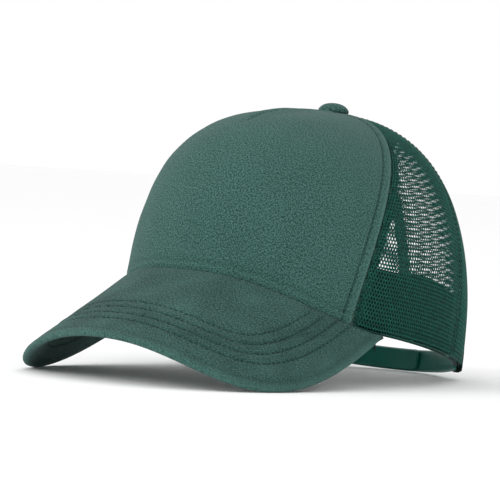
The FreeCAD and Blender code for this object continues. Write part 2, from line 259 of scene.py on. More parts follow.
# %% Light
def soft_light(name, place, energy, size):
    """A large square lamp aimed at the cap."""
    lamp = bpy.data.objects.new(name, bpy.data.lights.new(name, "AREA"))
    lamp.data.energy = energy
    lamp.data.size = size
    lamp.location = place
    lamp.rotation_euler = (Vector(place) - Vector((0, 0, 0.06))).to_track_quat("Z", "Y").to_euler()
    bpy.context.scene.collection.objects.link(lamp)


soft_light("key_light", (-0.9, -1.7, 1.0), 15.0, 1.1)
soft_light("fill_light", (1.7, -0.9, 0.7), 4.0, 1.4)
world = bpy.data.worlds.new("studio")
world.use_nodes = True
world.node_tree.nodes["Background"].inputs["Color"].default_value = (1.0, 1.0, 1.0, 1.0)
world.node_tree.nodes["Background"].inputs["Strength"].default_value = 1.0
bpy.context.scene.world = world

# %% [markdown]
# ## Finishes
# Each finish is a small tree of nodes. Cloth is a plain colour broken by the heather of its yarns,
# by the twill that the threads make, and by a mark on each vertex: seams and folds are worn
# lighter, stitched grooves and creases get painted shade, and the brim's underside painted light.
# The weave follows the piece's own map in metres, and the heather is in space, so that both have
# their real size.


# %% Node helpers
def srgb(red, green, blue):
    """Screen colour, 0 to 255, as the light that a shader takes."""
    line = [v / 255.0 for v in (red, green, blue)]
    return tuple(v / 12.92 if v <= 0.04045 else ((v + 0.055) / 1.055) ** 2.4 for v in line) + (1.0,)


def add_node(material, kind, inputs, **settings):
    """Add a node: an input, by name or place, is a number, a colour or another node's output."""
    made = material.node_tree.nodes.new(kind)
    for name, value in settings.items():
        setattr(made, name, value)
    for name, value in inputs.items():
        if isinstance(value, bpy.types.NodeSocket):
            material.node_tree.links.new(value, made.inputs[name])
        else:
            made.inputs[name].default_value = value
    return made


def start_finish(name, roughness, **constants):
    """A material with its shader; constants go straight on the shader's own sockets."""
    material = bpy.data.materials.new(name)
    material.use_nodes = True
    shader = material.node_tree.nodes["Principled BSDF"]
    shader.inputs["Roughness"].default_value = roughness
    for key, value in constants.items():
        shader.inputs[key.replace("_", " ")].default_value = value
    return material, shader


def mixed(material, factor, one, other):
    """Colour between two others."""
    inputs = {0: factor, 6: one, 7: other}
    return add_node(material, "ShaderNodeMix", inputs, data_type="RGBA").outputs[2]


def ranged(material, value, low, high, start=0.0, stop=1.0):
    node = add_node(material, "ShaderNodeMapRange", {
        "Value": value, "From Min": low, "From Max": high, "To Min": start, "To Max": stop})
    return node.outputs["Result"]


def summed(material, operation, one, other):
    return add_node(material, "ShaderNodeMath", {0: one, 1: other}, operation=operation).outputs[0]


def add_bump(material, shader, height, strength, distance):
    """Let a height in the finish turn the shader's normal."""
    inputs = {"Height": height, "Strength": strength, "Distance": distance}
    bump = add_node(material, "ShaderNodeBump", inputs)
    material.node_tree.links.new(bump.outputs["Normal"], shader.inputs["Normal"])


def noise(material, vector, scale, detail=2.0, stretch=(1.0, 1.0, 1.0)):
    mapping = add_node(material, "ShaderNodeMapping", {"Vector": vector, "Scale": stretch})
    made = add_node(material, "ShaderNodeTexNoise", {
        "Vector": mapping.outputs["Vector"], "Scale": scale, "Detail": detail, "Roughness": 0.6})
    return made.outputs["Fac"]


def bands(material, vector, turn, pitch):
    """Straight ridges this far apart, in metres, turned by an angle on the cloth."""
    mapping = add_node(material, "ShaderNodeMapping", {
        "Vector": vector, "Rotation": (0.0, 0.0, turn), "Scale": (1.0, 1.0, 1.0)})
    made = add_node(material, "ShaderNodeTexWave", {
        "Vector": mapping.outputs["Vector"], "Scale": math.pi / (10.0 * pitch),
        "Distortion": 0.6, "Detail": 1.0, "Detail Scale": 2.0}, wave_type="BANDS")
    return made.outputs["Fac"]


print("cotton green", [round(v, 3) for v in srgb(63, 100, 93)])


# %% Cloth finishes
def cloth_finish(name, colour, light, dark, weave, heather, wash=0.08, depth=0.35, sheen=0.05):
    """Woven cloth: its colour, lighter and darker yarns, twill pitch, heather and uneven wash."""
    material, shader = start_finish(name, 0.92, Sheen_Weight=sheen, Sheen_Roughness=0.6,
                                    Specular_IOR_Level=0.2)
    place = add_node(material, "ShaderNodeTexCoord", {})
    flat, space = place.outputs["UV"], place.outputs["Object"]
    yarn = noise(material, flat, 1900.0, 2.0, (1.0, 0.5, 1.0))
    cross_yarn = noise(material, flat, 1900.0, 2.0, (0.5, 1.0, 1.0))
    speckle = summed(material, "ADD", yarn, cross_yarn)
    patch = noise(material, space, 55.0, 3.0)
    tone = ranged(material, speckle, 0.8, 1.2, 0.5 - heather, 0.5 + heather)
    wash = ranged(material, patch, 0.3, 0.7, -wash, wash)
    level_of_tone = summed(material, "ADD", tone, wash)
    yarn_mix = mixed(material, level_of_tone, dark, light)
    plain = mixed(material, 0.45, yarn_mix, colour)
    # the vertex mark: above 0 worn lighter (and a painted lift of light under the brim), below 0
    # painted shade
    wear_and_painted_shading = add_node(material, "ShaderNodeAttribute", {}, attribute_name="wear_and_painted_shading").outputs["Fac"]
    patchy_noise = noise(material, space, 420.0, 3.0)
    worn_and_painted_shading = summed(material, "MULTIPLY", wear_and_painted_shading, ranged(material, patchy_noise, 0.35, 0.65, 0.45, 1.0))
    # worn lighter and painted light, both mixed towards the light yarn colour
    worn_and_painted_light = add_node(material, "ShaderNodeClamp", {"Value": worn_and_painted_shading}).outputs["Result"]
    # painted shade in grooves and creases, mixed towards the dark yarn colour
    painted_shade = add_node(material, "ShaderNodeClamp", {
        "Value": summed(material, "MULTIPLY", wear_and_painted_shading, -1.0)}).outputs["Result"]
    shown = mixed(material, painted_shade, mixed(material, worn_and_painted_light, plain, light), dark)
    material.node_tree.links.new(shown, shader.inputs["Base Color"])
    twill = bands(material, flat, math.radians(28.0), weave)
    weft = bands(material, flat, math.radians(-62.0), weave * 0.8)
    height = summed(material, "ADD", summed(material, "MULTIPLY", twill, 0.6), weft)
    height = summed(material, "ADD", height, summed(material, "MULTIPLY", speckle, 1.2))
    add_bump(material, shader, height, depth, 0.0003)
    return material


cotton = cloth_finish("washed_cotton", srgb(38, 77, 71), srgb(84, 126, 118), srgb(11, 39, 34),
                      0.00075, 1.0)
# painted shade: a darker copy of the front's cotton for the brim, which the lamps light more than
# the front
shaded_brim_cotton = cloth_finish("brim_cotton_with_painted_shade", srgb(24, 62, 57), srgb(78, 118, 110),
                           srgb(6, 31, 27), 0.00075, 1.0, 0.24)
tape_cloth = cloth_finish("tape_twill", srgb(70, 108, 100), srgb(104, 138, 130), srgb(44, 80, 72),
                          0.0009, 0.3)
binding_cloth = cloth_finish("binding_twill", srgb(9, 46, 39), srgb(22, 70, 60), srgb(4, 26, 22),
                             0.0009, 0.3)
lining = cloth_finish("backing_cloth", srgb(52, 82, 75), srgb(88, 118, 110), srgb(30, 54, 48),
                      0.0011, 0.25)
band_cloth = cloth_finish("sweatband_twill", srgb(8, 38, 33), srgb(20, 58, 51), srgb(4, 22, 19),
                          0.0010, 0.3)
print("cloth finishes", [material.name for material in bpy.data.materials])


# %% Thread, plastic, board and metal
def thread_finish(name, colour, light, roughness=0.55):
    """Twisted polyester yarn: fine variation along it and a soft gloss."""
    material, shader = start_finish(name, roughness, Specular_IOR_Level=0.2)
    space = add_node(material, "ShaderNodeTexCoord", {}).outputs["Object"]
    shade = ranged(material, noise(material, space, 600.0, 2.0), 0.35, 0.65)
    material.node_tree.links.new(mixed(material, shade, colour, light), shader.inputs["Base Color"])
    twist = bands(material, space, math.radians(35.0), 0.0004)
    add_bump(material, shader, twist, 0.25, 0.0001)
    return material


net_yarn = thread_finish("net_yarn", srgb(6, 62, 53), srgb(16, 88, 75))
thread = thread_finish("sewing_thread", srgb(8, 44, 38), srgb(20, 64, 56))


def grained_finish(name, colour, light, roughness, scale, strength, **constants):
    """Moulded plastic, board or metal: a fine grain in colour, gloss and height."""
    material, shader = start_finish(name, roughness, **constants)
    space = add_node(material, "ShaderNodeTexCoord", {}).outputs["Object"]
    grain = noise(material, space, scale, 4.0)
    cloud = noise(material, space, scale / 30.0, 2.0)
    shade = ranged(material, summed(material, "ADD", grain, cloud), 0.75, 1.25)
    material.node_tree.links.new(mixed(material, shade, colour, light), shader.inputs["Base Color"])
    gloss = ranged(material, cloud, 0.3, 0.7, roughness - 0.06, roughness + 0.08)
    material.node_tree.links.new(gloss, shader.inputs["Roughness"])
    add_bump(material, shader, grain, strength, 0.0001)
    return material


strap_plastic = grained_finish("strap_plastic", srgb(3, 98, 85), srgb(8, 112, 97), 0.42, 900.0,
                               0.25, Specular_IOR_Level=0.45)
board_plastic = grained_finish("brim_board_plastic", srgb(168, 172, 166), srgb(190, 194, 188), 0.5,
                               700.0, 0.3)
metal = grained_finish("button_metal", srgb(150, 152, 150), srgb(190, 192, 190), 0.35, 1500.0, 0.2,
                       Metallic=1.0)
floor_paint, _ = start_finish("floor_paint", 0.9, Base_Color=(0.97, 0.97, 0.97, 1.0))
print("finishes", len(bpy.data.materials))

# %% Floor
floor_mesh = bmesh.new()
bmesh.ops.create_grid(floor_mesh, x_segments=1, y_segments=1, size=6.0)
floor = bpy.data.objects.new("floor", bpy.data.meshes.new("floor"))
floor_mesh.to_mesh(floor.data)
floor_mesh.free()
floor.data.materials.append(floor_paint)
bpy.context.scene.collection.objects.link(floor)
print("floor size, m", tuple(round(v, 1) for v in floor.dimensions))

# %% [markdown]
# ## Laying cloth
# A piece of cloth starts as a flat grid, as it lies on the cutting table. Each vertex of the grid
# is then laid on the crown or the brim by the formulas, and a Solidify modifier gives the cloth
# its thickness. A cloth simulation could drape it, but a cap is sewn tight over its own curve, so
# the surface is known, and its small waves are added.


# %% Helpers for pieces
def add_piece(name, mesh, finish, body, nodes=()):
    """Put a finished mesh in the scene: it rides on its body and stands for its CAD nodes."""
    piece = bpy.data.objects.new(name, mesh)
    bpy.context.scene.collection.objects.link(piece)
    mesh.materials.clear()
    mesh.materials.append(finish)
    mesh.shade_smooth()
    if body:
        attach(piece, body)
    if nodes:
        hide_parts(*nodes)
    return piece


def add_thickness(piece, millimetres):
    solid = piece.modifiers.new("thickness", "SOLIDIFY")
    solid.thickness, solid.offset = millimetres / 1000.0, -1.0
    solid.use_even_offset = solid.use_rim = True


def finished(cut, name):
    """The mesh of a bmesh, which is freed."""
    mesh = bpy.data.meshes.new(name)
    cut.to_mesh(mesh)
    cut.free()
    return mesh


def places(mesh):
    at = np.empty(len(mesh.vertices) * 3)
    mesh.vertices.foreach_get("co", at)
    return at.reshape(-1, 3)


def set_places(mesh, points):
    """Move the vertices to head-frame points."""
    mesh.vertices.foreach_set("co", standing(points).ravel())
    mesh.update()


def vertices_in(made):
    return [g for g in made if isinstance(g, bmesh.types.BMVert)]


def add_sheet(name, mesh, finish, nodes, thick):
    """A sheet of cloth or net: it rides on the crown, stands for its CAD nodes, takes its thickness
    when it has one, and prints its area."""
    piece = add_piece(name, mesh, finish, "crown", nodes)
    if thick:
        add_thickness(piece, thick)
    print(name, "area, m2", round(sum(face.area for face in mesh.polygons), 6))


def paint_wear_and_shading(mesh, values):
    """Mark of each vertex: 1 is worn light, -1 is painted shade in a groove."""
    layer = mesh.attributes.new("wear_and_painted_shading", "FLOAT", "POINT")
    layer.data.foreach_set("value", np.asarray(values, np.float32).ravel())


def laid_grid(name, columns, rows, place, flip=False):
    """Lay a flat grid of cloth: place(u, v) gives the points, the map and the mark of worn light
    and painted shade.
    """
    flat = bmesh.new()
    bmesh.ops.create_grid(flat, x_segments=columns, y_segments=rows, size=0.5)
    if flip:
        bmesh.ops.reverse_faces(flat, faces=flat.faces)
    at = np.array([vertex.co for vertex in flat.verts])
    i = np.rint((at[:, 0] + 0.5) * columns).astype(int)
    j = np.rint((at[:, 1] + 0.5) * rows).astype(int)
    u, v = np.linspace(0.0, 1.0, columns + 1)[:, None], np.linspace(0.0, 1.0, rows + 1)[None, :]
    points, cloth_map, wear_and_painted_shading = place(u, v)
    mesh = finished(flat, name)
    set_places(mesh, points[i, j])
    corners = np.empty(len(mesh.loops), int)
    mesh.loops.foreach_get("vertex_index", corners)
    layer = mesh.uv_layers.new(name="cloth")
    layer.data.foreach_set("uv", (cloth_map[i, j][corners] / 1000.0).ravel())
    paint_wear_and_shading(mesh, np.broadcast_to(wear_and_painted_shading, points.shape[:2])[i, j])
    return mesh


def on_crown(left, right, low, high, depth, crowd=0.0, wear_and_painted_shading=None):
    """Lay cloth between two seams and two heights; depth and the mark of worn light and painted
    shade see how far each point is from the left edge, from the right edge, from the lower edge and
    from the upper edge."""
    def place(u, v):
        u = u - crowd * np.sin(2.0 * math.pi * u)
        u, t = np.broadcast_arrays(u, v)
        for _ in range(8):
            angle = left(t) + (right(t) - left(t)) * u
            bottom, top = low(angle[:, 0])[:, None], high(angle[:, -1])[:, None]
            t = bottom + (top - bottom) * v
        base = crown_point(angle, t)
        across, up = walk(base, 0), walk(base, 1)
        edges = (across, across[-1:] - across, up, up[:, -1:] - up)
        deep = depth(*edges) if callable(depth) else depth + 0.0 * t
        worn_and_painted_shading = wear_and_painted_shading(*edges) if wear_and_painted_shading else 0.0 * t
        cloth_map = np.stack([across - 0.5 * across[-1:], up], -1)
        return crown_layer(angle, t, deep), cloth_map, worn_and_painted_shading
    return place


def gentle_waves(x, y, length, seed, count=5):
    """Sum of a few slow waves in seeded directions, between about -1 and 1."""
    random = np.random.default_rng(seed)
    total = 0.0 * x
    for turn, phase, scale in random.random((count, 3)):
        turn, wave = turn * math.pi, length * (0.7 + 0.8 * scale)
        total = total + np.sin((x * np.cos(turn) + y * np.sin(turn)) * 2 * math.pi / wave
                               + phase * 2 * math.pi)
    return total / math.sqrt(2.0 * count)


def mirror_mesh(mesh, name):
    """The same cloth for the other side of the head."""
    copy = bmesh.new()
    copy.from_mesh(mesh)
    bmesh.ops.scale(copy, vec=(-1.0, 1.0, 1.0), verts=copy.verts)
    bmesh.ops.reverse_faces(copy, faces=copy.faces)
    return finished(copy, name)


print("helpers ready")

# %% [markdown]
# ## Front panel
# The front is one large piece of washed cotton over a stiff backing. Its side edges are folded
# under and topstitched, so a soft roll runs along each seam with a stitched groove beside it. A
# short dart takes in the cloth in front of the button. All of it is depth: the grid is crowded
# towards the seams, where the folds are small.

# %% Front cloth
SEAM_GAP, SEAM_STITCH, HEM_STITCH, DART_LENGTH = 0.15, 6.0, 6.4, 80.0


def front_depth(left, right, low, high):
    side = np.minimum(left, right)
    middle = 0.5 * np.abs(left - right)
    dart = smooth((DART_LENGTH - high) / 22.0)
    roll = 0.8 * bump_at(side, 0.8) + 0.42 * bump_at(side - SEAM_STITCH, 0.75)
    swell = -0.42 * smooth(side / 1.2) * smooth((SEAM_STITCH - side) / 2.0)
    hem = 0.6 * bump_at(low - HEM_STITCH, 0.8)
    piping = -0.6 * smooth((low - 1.8) / 1.2) * smooth((HEM_STITCH - low) / 1.8)
    pull = bump_at(np.maximum(side - SEAM_STITCH, 0.0), 5.0) * smooth(side / 4.0)
    pucker = 0.16 * pull * gentle_waves(0.0 * low, low, 5.5, 5)
    hem_pucker = 0.14 * bump_at(low - HEM_STITCH, 5.0) * gentle_waves(left, 0.0 * low, 6.0, 6)
    groove = dart * (1.9 * bump_at(middle, 1.3) - 1.0 * bump_at(middle - 4.2, 3.2))
    waves = 0.38 * gentle_waves(left, low, 46.0, 1) + 0.12 * gentle_waves(left, low, 15.0, 2)
    calm = smooth(side / 20.0) * smooth(low / 20.0) * smooth(high / 25.0)
    return 0.35 + roll + swell + hem + piping + pucker + hem_pucker + groove + 0.5 * waves * calm


def front_wear_and_shade(left, right, low, high):
    side = np.minimum(left, right)
    middle = 0.5 * np.abs(left - right)
    dart = smooth((DART_LENGTH - high) / 22.0)
    # worn lighter on the seam's roll and on the dart's lips
    light = 0.35 * bump_at(side - 1.6, 1.0) + 0.25 * dart * bump_at(middle - 2.4, 1.2)
    # painted shade: darker on the seam line, in the stitched grooves beside the seam and above the
    # hem, and in the dart's crease
    dark = bump_at(side, 0.5) + 0.5 * bump_at(side - SEAM_STITCH, 0.6)
    dark = dark + 0.45 * bump_at(low - HEM_STITCH, 0.7) + 0.9 * dart * bump_at(middle, 0.9)
    return light - dark


front_left, front_right = shifted(front_seam, -SEAM_GAP), opposite(shifted(front_seam, -SEAM_GAP))
front_mesh = laid_grid("front_cloth", 210, 130, on_crown(
    front_right, front_left, hem_line, button_hole, front_depth, 0.11, front_wear_and_shade))
add_sheet("front_cloth", front_mesh, cotton, ["front_panel"], 0.85)

# %% [markdown]
# ### Backing
# Behind the cotton is a stiff woven backing that keeps the front standing. It is seen only from
# inside, where it is a plain, coarse cloth, so a simple grid with slight waves is enough.

# %% Backing cloth
backing_mesh = laid_grid("backing_cloth", 90, 60, on_crown(
    opposite(shifted(front_seam, -7.0)), shifted(front_seam, -7.0),
    lambda angle: t_above_hem(angle, 3.0), lambda angle: t_below_apex(angle, 13.0),
    lambda left, right, low, high: 1.55 + 0.08 * gentle_waves(left, low, 25.0, 3)))
add_sheet("backing_cloth", backing_mesh, lining, ["front_buckram"], 0.6)

# %% [markdown]
# ## Net panels
# The net is a warp-knitted polyester mesh: upright zigzag threads that meet and leave honeycomb
# holes. An image with holes in it could stand for it, but it would look flat, so the net is real.
# One hexagon is copied to a sheet, each cell is inset to leave a hole, and the ridges between the
# holes are raised on both sides. That makes each thread a lens in section with few faces.

# %% Net helper
CELL_WIDTH, CELL_PITCH, THREAD_INSET, THREAD_HEIGHT = 1.75, 2.0, 0.40, 0.27


def honeycomb(width, height, half_shift):
    """A flat sheet of hexagons in millimetres, from -width/2 to width/2 and from 0 to height."""
    sheet = bmesh.new()
    bmesh.ops.create_circle(sheet, segments=6, radius=CELL_WIDTH / math.sqrt(3.0), cap_ends=True)
    tall = CELL_PITCH / (1.5 * CELL_WIDTH / math.sqrt(3.0))
    bmesh.ops.scale(sheet, vec=(1.0, tall, 1.0), verts=sheet.verts)
    if abs(max(v.co.x for v in sheet.verts) - CELL_WIDTH / 2.0) > 0.01:
        upright_turn = Matrix.Rotation(math.radians(30.0), 3, "Z")
        bmesh.ops.rotate(sheet, matrix=upright_turn, verts=sheet.verts)
    columns, rows = int(width / CELL_WIDTH) + 2, int(height / CELL_PITCH) + 2
    start = (-0.5 * columns + (0.5 if half_shift else 0.0)) * CELL_WIDTH
    first = sheet.faces[:] + sheet.edges[:] + sheet.verts[:]
    for k in range(1, columns + 1):
        moved = vertices_in(bmesh.ops.duplicate(sheet, geom=first)["geom"])
        bmesh.ops.translate(sheet, vec=(k * CELL_WIDTH, 0.0, 0.0), verts=moved)
    row = sheet.faces[:] + sheet.edges[:] + sheet.verts[:]
    for k in range(1, rows + 1):
        moved = vertices_in(bmesh.ops.duplicate(sheet, geom=row)["geom"])
        shift = 0.5 * CELL_WIDTH if k % 2 else 0.0
        bmesh.ops.translate(sheet, vec=(shift, k * CELL_PITCH, 0.0), verts=moved)
    bmesh.ops.translate(sheet, vec=(start, 0.0, 0.0), verts=sheet.verts)
    bmesh.ops.remove_doubles(sheet, verts=sheet.verts, dist=0.05)
    return sheet


def net_mesh(name, left, right, depth, wanted=None, half_shift=False):
    """Net between two seams: cells that aren't wanted are cut away, the others get their holes,
    and the sheet is laid on the crown along the middle rib of the panel."""
    middle = 0.5 * (left(0.35) + right(0.35))
    steps = np.linspace(0.0, 1.0, 401)
    rib = walk(crown_point(middle, steps), 0)
    widest = max((right(t) - left(t)) * np.linalg.norm(
        crown_point(middle + 0.01, t) - crown_point(middle - 0.01, t)) / 0.02
        for t in np.linspace(0.0, 0.9, 10))

    def metric(t):
        ahead, behind = crown_point(middle + 0.01, t), crown_point(middle - 0.01, t)
        return np.maximum(np.linalg.norm(ahead - behind, axis=-1) / 0.02, 0.5)

    def crown_place(x, y):
        t = np.interp(y, rib, steps)
        return middle + x / metric(t), t

    sheet = honeycomb(widest * 1.06, rib[-1], half_shift)
    centres = np.array([face.calc_center_median() for face in sheet.faces])
    angle, t = crown_place(centres[:, 0], centres[:, 1])
    keep = (angle > left(t)) & (angle < right(t)) & (centres[:, 1] > 0.0) & (t < button_hole(angle))
    if wanted:
        keep &= wanted(angle, t, centres[:, 1])
    gone = [face for face, kept in zip(sheet.faces[:], keep) if not kept]
    bmesh.ops.delete(sheet, geom=gone, context="FACES")
    at = np.array([vertex.co for vertex in sheet.verts])
    t = np.interp(at[:, 1], rib, steps)
    low, high = (left(t) - middle) * metric(t), (right(t) - middle) * metric(t)
    for vertex, x, y in zip(sheet.verts, np.clip(at[:, 0], low, high), np.maximum(at[:, 1], 0.0)):
        vertex.co = (x, y, 0.0)
    thin = [face for face in sheet.faces if face.calc_area() < 0.4 * CELL_WIDTH * CELL_PITCH]
    bmesh.ops.delete(sheet, geom=thin, context="FACES")
    ridge = [vertex for vertex in sheet.verts if not vertex.is_boundary]
    cells = sheet.faces[:]
    bmesh.ops.inset_individual(sheet, faces=cells, thickness=THREAD_INSET, use_even_offset=True)
    bmesh.ops.delete(sheet, geom=cells, context="FACES_ONLY")
    for vertex in ridge:
        vertex.co.z = THREAD_HEIGHT
    copy = bmesh.ops.duplicate(sheet, geom=sheet.faces[:] + sheet.edges[:] + sheet.verts[:])["geom"]
    bmesh.ops.scale(sheet, vec=(1.0, 1.0, -1.0), verts=vertices_in(copy))
    bmesh.ops.reverse_faces(sheet, faces=[g for g in copy if isinstance(g, bmesh.types.BMFace)])
    bmesh.ops.remove_doubles(sheet, verts=sheet.verts, dist=0.02)
    mesh = finished(sheet, name)
    at = places(mesh)
    angle, t = crown_place(at[:, 0], at[:, 1])
    sag = 0.12 * gentle_waves(at[:, 0], at[:, 1], 34.0, 11)
    set_places(mesh, crown_layer(angle, t, depth - at[:, 2] + sag))
    print(name, "panel width and height, mm", round(widest, 1), round(rib[-1], 1))
    return mesh


ARCH_HALF_WIDTH, ARCH_TOP, ARCH_CENTRE = 52.0, 40.0, -8.0


def in_arch(point, margin):
    """True where a point at the back is inside the half-moon opening grown by a margin."""
    height = ARCH_TOP - ARCH_CENTRE + margin
    x, z = point[..., 0] / (ARCH_HALF_WIDTH + margin), (point[..., 2] - ARCH_CENTRE) / height
    inside = (x * x + z * z < 1.0) | ((np.abs(x) < 1.0) & (z < 0.0))
    return inside & (point[..., 1] > 40.0)


print("hexagon height", round(CELL_PITCH / 0.75, 3))

# %% Side and rear nets
NET_DEPTH = 0.55


def net_pair(mesh, side_nodes):
    """The left net and its mirror image; the names of their nodes end in a side."""
    for side in ("left", "right"):
        if side == "right":
            mesh = mirror_mesh(mesh, mesh.name.replace("_left", "_right"))
        add_sheet(mesh.name, mesh, net_yarn, [side_nodes + side], None)


net_pair(net_mesh("side_net_left", shifted(front_seam, SEAM_GAP), shifted(side_seam, -SEAM_GAP),
                  NET_DEPTH),
         "side_mesh_")
net_pair(net_mesh("rear_net_left", shifted(side_seam, SEAM_GAP), shifted(rear_seam, -SEAM_GAP),
                  NET_DEPTH, lambda angle, t, y: ~in_arch(crown_point(angle, t), 0.4)),
         "rear_mesh_")

# %% [markdown]
# ### Folded edges of the net
# Along the hem and behind the front seam the net is folded under, so two layers lie on each other
# and look denser. The second layer is a narrow net of its own, half a cell out of step.

# %% Folded edges
FOLD_DEPTH, FOLD_WIDTH, HEM_FOLD = 1.62, 6.6, 8.0


def on_fold(angle, t, y):
    point = crown_point(angle, t)
    beside = (angle - front_seam(t)) * round_reach(angle, t) < FOLD_WIDTH
    low = t_above_hem(angle, HEM_FOLD) > t
    return (beside | low) & ~in_arch(point, 8.4)


net_pair(net_mesh("fold_net_left", shifted(front_seam, SEAM_GAP),
                  lambda t: np.radians(150.0) + 0.0 * t, FOLD_DEPTH, on_fold, True),
         "hem_")

# %% [markdown]
# ## Seam tapes
# Inside, a woven tape covers each seam from the hem to the button. It is a narrow grid with a
# slightly domed section and two lines of stitches that press it down.


# %% Tapes
def tape_depth(left, right, low, high):
    side = np.minimum(left, right)
    return 2.45 + 0.18 * bump_at(side, 1.0) + 0.03 * gentle_waves(left, low, 9.0, 8)


def tape_edge(seam, half_width):
    def edge(t):
        reach = round_reach(seam(t), t)
        return seam(t) + np.sign(half_width) * np.minimum(abs(half_width), 0.34 * reach) / reach
    return edge


def add_tape(name, mesh, node):
    add_sheet(name, mesh, tape_cloth, [node], 0.5)


def tape_mesh(name, seam, half_width, low):
    return laid_grid(name, 8, 110, on_crown(
        tape_edge(seam, -half_width), tape_edge(seam, half_width), low,
        lambda angle: t_below_apex(angle, 9.5), tape_depth))


hem_start = lambda angle: t_above_hem(angle, 0.5)
arch_start = lambda angle: t_above_hem(angle, ARCH_TOP - REAR_HEM_HEIGHT + 0.8)
WIDE_HALF, NARROW_HALF = 6.0, 3.5
for seam_name, seam, half, length in (("front", front_seam, WIDE_HALF, 0.158),
                                      ("side", side_seam, NARROW_HALF, 0.160)):
    mesh = tape_mesh(seam_name + "_tape_left", seam, half, hem_start)
    add_tape(seam_name + "_tape_left", mesh, "seam_tape_" + seam_name + "_left")
    other = mirror_mesh(mesh, seam_name + "_tape_right")
    add_tape(seam_name + "_tape_right", other, "seam_tape_" + seam_name + "_right")
add_tape("rear_tape", tape_mesh("rear_tape", rear_seam, NARROW_HALF, arch_start),
         "seam_tape_rear")

# %% [markdown]
# ## Binding of the rear opening
# The half-moon opening is bound with tape folded over the net's cut edge. Its section is a long
# U: inside, round the edge, outside. Each point of the U is found on the crown by a few Newton
# steps, because the opening is drawn from behind while the crown is a formula of angle and t.


# %% Arch binding
def rear_place(x, z):
    """Angle and t of the crown's point with this x and z, at the back."""
    angle, t = math.pi - x / 100.0, (z + 6.0) / 150.0
    h = 1e-4
    for _ in range(14):
        here = crown_point(angle, t)
        turn = (crown_point(angle + h, t) - here) / h
        rise = (crown_point(angle, t + h) - here) / h
        dx, dz = x - here[..., 0], z - here[..., 2]
        det = turn[..., 0] * rise[..., 2] - turn[..., 2] * rise[..., 0]
        angle = angle + (dx * rise[..., 2] - dz * rise[..., 0]) / det
        t = t + (turn[..., 0] * dz - turn[..., 2] * dx) / det
    return angle, t


def arch_path(turn, grow):
    """Plan of the opening's edge from behind, grown outwards."""
    x = (ARCH_HALF_WIDTH + grow) * np.sin(turn)
    return x, ARCH_CENTRE + (ARCH_TOP - ARCH_CENTRE + grow) * np.cos(turn)


BINDING_SECTION = np.array([
    (8.0, 2.05), (7.4, 2.15), (5.5, 2.1), (3.0, 2.1), (1.0, 2.1), (0.0, 2.05), (-0.6, 1.75),
    (-0.95, 1.2), (-1.0, 0.7), (-0.85, 0.2), (-0.45, -0.25), (0.2, -0.5), (1.2, -0.55),
    (3.0, -0.5), (5.5, -0.5), (7.4, -0.5), (8.0, -0.35)])


def along_section(section, v):
    """Both coordinates of a section, read from its first point, v = 0, to its last, v = 1."""
    last = len(section) - 1
    return [np.interp(v * last, np.arange(last + 1), section[:, k]) for k in (0, 1)]


def binding_place(u, v):
    grow, deep = along_section(BINDING_SECTION, v)
    turn = np.radians(-86.9 + 173.8 * u)
    x, z = arch_path(turn, grow)
    angle, t = rear_place(x, z)
    base = crown_point(angle, t)
    along, over = walk(base, 0), walk(base, 1)
    deep = deep + 0.05 * gentle_waves(along, over, 8.0, 9)
    return crown_layer(angle, t, deep), np.stack([along, over], -1), 0.0 * x


binding_mesh = laid_grid("arch_binding_cloth", 150, 32, binding_place)
add_sheet("arch_binding_cloth", binding_mesh, binding_cloth, ["arch_binding"], 0.45)

# %% [markdown]
# ## Sweatband
# A band of soft twill runs inside the lower edge, from one side of the strap round to the other.
# Its lower edge turns under the hem. It is one grid: the section goes down the inner face, round
# the fold and a little up again.

# %% Sweatband
band_end = float(rear_angle(78.0))
BAND_SECTION = np.array([
    (34.8, 3.9), (34.4, 4.4), (33.0, 4.65), (29.0, 4.8), (22.0, 4.9), (12.0, 4.85), (5.0, 4.75),
    (1.8, 4.7), (0.9, 4.5), (0.4, 4.0), (0.2, 3.4), (0.4, 2.8), (1.2, 2.45)])


def band_place(u, v):
    height, deep = along_section(BAND_SECTION, v)
    angle = -band_end + 2.0 * band_end * u + 0.0 * v
    above = np.maximum(height, 0.0) + 0.0 * u
    t = t_above_hem(angle, above)
    base = crown_point(angle, t)
    along = walk(base, 0)
    calm = smooth(above / 8.0) * smooth((36 - above) / 8)
    wave = 0.3 * gentle_waves(along, above, 26.0, 4) * calm
    points = crown_layer(angle, t, deep + wave)
    # painted shade along the pressed stitch line 32 mm above the hem
    pressed = -0.5 * bump_at(above - 32.0, 0.6)
    return points, np.stack([along, -height + 0.0 * along], -1), pressed


band_mesh = laid_grid("sweatband_cloth", 260, 36, band_place)
add_sheet("sweatband_cloth", band_mesh, band_cloth, ["sweatband"], 1.0)

# %% [markdown]
# ## Brim
# A curved board is covered with the same cotton, top and bottom. The top cloth is pulled round
# the board's edge and sewn down underneath, and rows of stitches run parallel to the edge. A
# line from the crown to the edge gives the section; at each row the cloth is pressed down
# and it swells a little between the rows.


# %% Brim surface
def brim_ends(across):
    """Plan points where a line across the brim leaves the crown and reaches the edge."""
    ix, iy = oval_point(across * BRIM_CORNER, -0.25)
    cx, cy = oval_point(BRIM_CORNER)
    turn = math.radians(BRIM_SIDE_TURN)
    front = -(FRONT_LENGTH + BRIM_LENGTH)
    px = (cx, cx + BRIM_SIDE_PULL * math.sin(turn), BRIM_FRONT_PULL, 0.0)
    py = (cy, cy - BRIM_SIDE_PULL * math.cos(turn), front, front)
    u = 1.0 - np.abs(across)
    weights = ((1 - u) ** 3, 3 * (1 - u) ** 2 * u, 3 * (1 - u) * u * u, u ** 3)
    ox = sum(w * p for w, p in zip(weights, px))
    return ix, iy, np.sign(across) * ox, sum(w * p for w, p in zip(weights, py))


